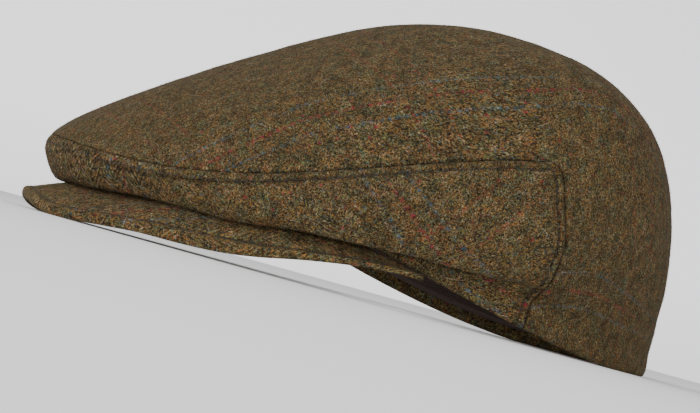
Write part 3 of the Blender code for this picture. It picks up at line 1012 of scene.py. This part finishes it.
def sweatband(material):
    """Ribbed ribbon with a folded lower edge, inside the rim."""
    top = BAND_SETBACK + BAND_HEIGHT
    outer = WALL + GAP + FACING_THICKNESS + FACING_LEAN + GAP
    inner = outer + BAND_THICKNESS
    corners = [(outer, BAND_SETBACK + 0.5 * BAND_THICKNESS), (outer + BAND_LEAN, top)]
    corners += [(inner + BAND_LEAN * t, BAND_SETBACK + BAND_HEIGHT * t)
                for t in (1.0, 0.85, 0.7, 0.55, 0.4, 0.28, 0.18, 0.12, 0.09)]
    fold = ((0.10, 2.2), (0.28, 1.8), (0.30, 1.1), (0.12, 0.4), (-0.4, 0.02))
    corners += [(inner + a * MM, BAND_SETBACK + b * MM) for a, b in fold]
    corners.append((outer + 0.3 * MM, BAND_SETBACK + 0.12 * MM))
    obj, along, up, height = hoop("sweatband_ribbon", corners, material, "sweatband")
    add_uv(obj, "cloth", along, up)
    add_uv(obj, "check", height + 0.14 * along, up - BAND_SETBACK / MM)


def peak_share(column, station):
    return even_series([row[column] for row in PEAK_ROWS], math.pi * np.abs(station))


def peak_loops(stations):
    """Sections of the peak: top, rolled edge, underside. Also each point's millimetres inwards."""
    thickness = peak_share(1, stations)[:, None] * PEAK_THICKNESS
    root = hem_point(PEAK_SPAN * stations, PEAK_ROOT, -PEAK_GAP - thickness[:, 0])
    corner_y = float(hem_point(np.array(PEAK_SPAN), 0, 0)[1])
    edge = egg(np.radians(90 * stations), PEAK_FRONT, 0, PEAK_HALF_WIDTH, corner_y, 2.5)
    edge = np.stack(edge, -1)
    edge[:, 1] -= 1.5 * MM * (1 - soft_step(np.abs(stations), 0.15, 0.75))
    edge_z = (peak_share(0, stations) * RIM_RISE)[:, None]
    heading = edge - root[:, :2]
    reach = np.linalg.norm(heading, axis=-1, keepdims=True)
    tangent = unit(np.gradient(edge, axis=0))
    slant = np.abs(heading[:, :1] * tangent[:, 1:] - heading[:, 1:] * tangent[:, :1]) / reach
    lip = np.minimum(PEAK_LIP, 0.3 * reach)
    camber = (PEAK_CAMBER * (1 - stations ** 2) ** 2)[:, None]
    # points beside the seam keep their distance from the edge, not from its section's end
    stretch = np.minimum(1 / np.maximum(slant, 0.4), 0.6 * reach / (PEAK_CLOSE[0] * MM))
    close = PEAK_CLOSE * MM * stretch
    flat = close[:, :1] + (reach - close[:, :1]) * np.linspace(1, 0, PEAK_FLAT + 1)[:-1]
    away = np.concatenate((flat, close), 1)
    share = np.clip((reach - away) / (reach - lip), 0, 1)
    half = thickness / 2 * (1 + 0.16 * bell(away / stretch - 0.9 * MM, 1.3 * MM))
    middle = root[:, 2:] + (edge_z - root[:, 2:]) * share + camber * 4 * share * (1 - share)
    middle = middle + thickness / 2
    depth = (0.08 + 0.34 * soft_step(np.abs(stations), 0.15, 0.50))[:, None] * MM
    groove = depth * bell(away / stretch - PEAK_STITCH * MM, 0.75 * MM) * 2 * half / PEAK_THICKNESS
    turn = np.radians(np.linspace(90, -90, 11))
    bead = lip - lip * np.cos(turn) ** 0.8
    rolled = edge_z + thickness / 2 + half[:, -1:] * 1.04 * np.sin(turn)
    z = np.concatenate((middle + half - groove, rolled, (middle - half + groove)[:, ::-1]), 1)
    away = np.concatenate((away, bead, away[:, ::-1]), 1)
    plan = root[:, None, :2] + heading[:, None] * (1 - away / reach)[..., None]
    return np.concatenate((plan, z[..., None]), -1), away / stretch / MM


def peak_cloth(loops):
    """Cloth coordinates on the peak in millimetres: the cover runs on round its edge."""
    middle = loops.shape[1] // 2
    first = middle - 5
    run = run_length(loops.transpose(1, 0, 2)).T
    run = np.maximum(run - run[:, first:first + 1], 0)
    tangent = np.gradient(loops[:, middle, :2], axis=0)
    normal = unit(np.stack((tangent[:, 1], -tangent[:, 0]), -1))
    plan = loops[..., :2]
    out = ((plan - plan[:, first:first + 1]) * normal[:, None]).sum(-1)
    spread = plan + normal[:, None] * np.where(run > 0, run - out, 0)[..., None]
    return spread[..., 0].ravel() / MM, spread[..., 1].ravel() / MM


def peak(material):
    """Peak: a stiff tongue in the same tweed, its edge turned and stitched."""
    stations = np.linspace(-1, 1, PEAK_COLUMNS + 1)
    flat, away = peak_loops(stations)
    loops = flat.copy()
    inside = soft_step(1 - np.abs(stations), 0.0, 0.2)[:, None]
    lift = 0.16 * MM * waves(loops, 12, 0.050, 0.018, 21) * inside
    loops[..., 2] = np.maximum(loops[..., 2] + lift, 0.0)
    faces = loop_faces(*loops.shape[:2], False)
    obj = new_object("peak_tweed", loops.reshape(-1, 3), faces, material, "peak")
    x, y = peak_cloth(flat)
    # strength of painted shade along the peak's stitch lines, stronger towards its sides
    stitch_shade_strength = 0.10 + 0.65 * soft_step(np.abs(stations), 0.15, 0.55)[:, None]
    dye(obj, (x, y), (np.abs(x) - PEAK_CHECK[0], y - PEAK_CHECK[1]),
        weave=0.7, crease=stitch_shade_strength * bell(away - PEAK_STITCH, 0.55))
    return obj


# ---- stitches and fibres ----

def stitches(name, points, normals, material, radius=0.27 * MM, share=0.76, rings=7, sides=6):
    """Thread along a line on the cloth: a row of short stitches that dive at their ends."""
    run = run_length(points)
    turns = np.arange(sides) * 2 * math.pi / sides
    bow = np.sin(np.linspace(0, 1, rings) * math.pi)
    size = radius * (0.55 + 0.45 * bow)
    verts, faces, along = [], [], []
    for k in range(int(run[-1] / STITCH_PITCH)):
        at = (k + 0.5 + (np.linspace(0, 1, rings) - 0.5) * share) * STITCH_PITCH
        p = np.stack([np.interp(at, run, points[:, i]) for i in range(3)], -1)
        n = unit(np.stack([np.interp(at, run, normals[:, i]) for i in range(3)], -1))
        b = np.cross(unit(np.gradient(p, axis=0)), n)
        p = p + n * ((bow - 1) * STITCH_BOW + STITCH_CLEARANCE)[:, None]
        spokes = (np.cos(turns)[:, None] * b[:, None] + np.sin(turns)[:, None] * n[:, None])
        faces += [[k * rings * sides + corner for corner in face]
                  for face in loop_faces(rings, sides, False)]
        verts.append((p[:, None] + size[:, None, None] * spokes).reshape(-1, 3))
        along.append(np.repeat(at / MM, sides))
    along = np.concatenate(along)
    obj = new_object(name, np.concatenate(verts), faces, material)
    add_uv(obj, "cloth", along, np.resize(np.arange(sides) / sides, len(along)))


def peak_topstitching(material):
    """Rows of stitches beside the peak's edge, above and below."""
    loops, _ = peak_loops(np.linspace(-0.97, 0.97, 260))
    seam = PEAK_FLAT + int(np.argmin(np.abs(PEAK_CLOSE - PEAK_STITCH)))
    for name, up, line in (("top", 1.0, loops[:, seam]), ("under", -1.0, loops[:, -1 - seam])):
        normals = np.tile((0.0, 0.0, up), (len(line), 1))
        stitches("topstitch_peak_" + name, line + normals * 0.06 * MM, normals, material)


def nap(name, source, count, seed, material, outer_only,
        middle=1.3, thick=0.040, shade=(0.0, 0.95)):
    """Loose wool fibres on a piece, each a thin curved ribbon, with middle their usual length."""
    mesh = source.data
    mesh.calc_loop_triangles()
    tri = read(mesh.loop_triangles, "vertices", 3, np.int64)
    co = read(mesh.vertices, "co", 3) - HEAD
    if outer_only:
        tri = tri[(tri < len(co) // 2).all(1)]
    a, b, c = co[tri[:, 0]], co[tri[:, 1]], co[tri[:, 2]]
    face = np.cross(b - a, c - a)
    area = np.linalg.norm(face, axis=-1)
    rng = np.random.default_rng(seed)
    pick = rng.choice(len(tri), count, p=area / area.sum())
    w = rng.dirichlet((1, 1, 1), count)
    root = w[:, :1] * a[pick] + w[:, 1:2] * b[pick] + w[:, 2:] * c[pick]
    normal = face[pick] / area[pick][:, None]
    random = rng.normal(size=(count, 3))
    flat = unit(random - (random * normal).sum(-1, keepdims=True) * normal)
    side = np.cross(normal, flat)
    length = np.clip(rng.lognormal(math.log(middle), 0.50, count), 0.7, 9.0) * MM
    bend = rng.normal(0, 0.55, count)
    lift = rng.uniform(0.08, 0.38, count) * MM
    tip_lift = np.abs(rng.normal(0, 0.22, count)) * MM
    width = rng.uniform(0.7, 1.3, count) * thick * MM
    lean = rng.uniform(-0.9, 0.9, count)[:, None]
    verts = []
    for t in (0.0, 0.33, 0.66, 1.0):
        turn = (bend * t)[:, None]
        direction = flat * np.cos(turn) + side * np.sin(turn)
        height = -0.06 * MM + lift * 4 * t * (1 - t) + tip_lift * t
        centre = root + direction * (length * t)[:, None] + normal * height[:, None]
        across = np.cross(normal, direction) * np.cos(lean) + normal * np.sin(lean)
        across = across * (width * (1 - 0.75 * t))[:, None]
        verts += [centre - across, centre + across]
    verts = np.stack(verts, 1).reshape(-1, 3)
    verts[:, 2] = np.maximum(verts[:, 2], 0.0)
    first = np.arange(count)[:, None] * 8
    quads = np.concatenate([first + (k, k + 1, k + 3, k + 2) for k in (0, 2, 4)])
    obj = new_object(name, verts, quads.tolist(), material, closed=False)
    add_uv(obj, "cloth", np.repeat(rng.uniform(*shade, count), 8), np.zeros(count * 8))


# ---- studio ----

def direction_to(azimuth, elevation):
    """Direction from the cap: azimuth 0 in front of it, 90 at its left side."""
    a, e = math.radians(azimuth), math.radians(elevation)
    return Vector((math.sin(a) * math.cos(e), -math.cos(a) * math.cos(e), math.sin(e)))


def floor():
    """Plain pale floor."""
    bm = bmesh.new()
    bmesh.ops.create_circle(bm, cap_ends=True, segments=96, radius=40.0)
    mesh = bpy.data.meshes.new("floor")
    bm.to_mesh(mesh)
    bm.free()
    pale = Graph(bpy.data.materials.new("pale_floor"))
    obj = link("floor", mesh, pale.finish((0.90, 0.90, 0.90, 1), 0.9, 0.1))


def add_light(name, kind, energy, place):
    """Light that the camera doesn't see."""
    light = bpy.data.lights.new(name, kind)
    light.energy = energy
    obj = bpy.data.objects.new(name, light)
    obj.visible_camera = False
    obj.location = place
    bpy.context.scene.collection.objects.link(obj)
    return obj, light


def softbox(name, azimuth, elevation, distance, size, power):
    """Area light of a width and height, aimed at the middle of the cap."""
    towards = direction_to(azimuth, elevation)
    obj, light = add_light(name, "AREA", power, Vector((0, 0, 0.02)) + towards * distance)
    obj.rotation_euler = towards.to_track_quat("Z", "Y").to_euler()
    light.shape = "RECTANGLE"
    light.size, light.size_y = size


def camera():
    """Camera just above the floor, turned clockwise as the photograph is."""
    a, r = math.radians(CAMERA_AZIMUTH), math.radians(CAMERA_ROLL)
    back = direction_to(CAMERA_AZIMUTH, CAMERA_ELEVATION)
    right = Vector((math.cos(a), math.sin(a), 0.0))
    up = back.cross(right)
    turned_right = right * math.cos(r) + up * math.sin(r)
    turned_up = up * math.cos(r) - right * math.sin(r)
    data = bpy.data.cameras.new("camera")
    data.lens = CAMERA_LENS
    data.sensor_width = CAMERA_SENSOR
    data.clip_start = 0.02
    obj = bpy.data.objects.new("camera", data)
    obj.matrix_world = Matrix.Translation(Vector(CAMERA_AIM) + back * CAMERA_DISTANCE) @ Matrix(
        (turned_right, turned_up, back)).transposed().to_4x4()
    bpy.context.scene.collection.objects.link(obj)
    bpy.context.scene.camera = obj


def sky():
    """Plain white world, brightest at the horizon and a little darker behind the cap."""
    world = bpy.data.worlds.new("studio")
    g = Graph(world, "Background")
    place = g.out(g.node("ShaderNodeTexCoord", {}), "Generated")
    parts = g.node("ShaderNodeSeparateXYZ", {"Vector": place})
    fall = g.ramp(g.out(parts, 2), [(height, (light / 2,) * 3) for height, light in SKY])
    behind = g.out(g.node("ShaderNodeMapRange", {"Value": g.out(parts, 1), "From Min": 0.25,
                                                 "To Min": 2.0, "To Max": 1.08}))
    g.put(g.shader, "Color", (1.0, 1.0, 1.0, 1))
    g.put(g.shader, "Strength", fall * behind)
    bpy.context.scene.world = world


def studio():
    floor()
    sky()
    softbox("key", 43, 22, 1.6, (1.1, 1.1), 12.5)
    softbox("low_strip", 80, 3.5, 1.7, (1.2, 0.30), 18)
    _, inside = add_light("inside", "POINT", 0.11, (0, HEAD_Y, 0.024))
    inside.shadow_soft_size = 0.03
    camera()


def build():
    cloth = tweed("tweed")
    left, *line_left = side_panel(1, cloth)
    right, *line_right = side_panel(-1, cloth)
    top = top_panel(cloth)
    # the peak's cloth is stretched over its stiffener; it gets a copy of the same tweed painted
    # lighter, as painted light on the peak
    peak_piece = peak(tweed("tweed_painted_lighter", 0.79))
    hem_facing(cloth)
    sweatband(ribbon())
    sewing = thread()
    stitches("topstitch_side_left", *line_left, sewing)
    stitches("topstitch_side_right", *line_right, sewing)
    peak_topstitching(sewing)
    fibres = wool_fibres()
    sources = (("top", top), ("left", left), ("right", right), ("peak", peak_piece))
    for (name, source), count, seed in zip(sources, (30000, 9000, 9000, 7000), (1, 2, 3, 5)):
        nap("nap_" + name, source, count, seed, fibres, name != "peak")
    for (name, source), count in zip(sources, (360, 120, 120, 80)):
        nap("hairs_" + name, source, count, 40 + count, fibres, name != "peak",
            middle=5.0, thick=0.050, shade=(0.8, 1.0))


build()
studio()
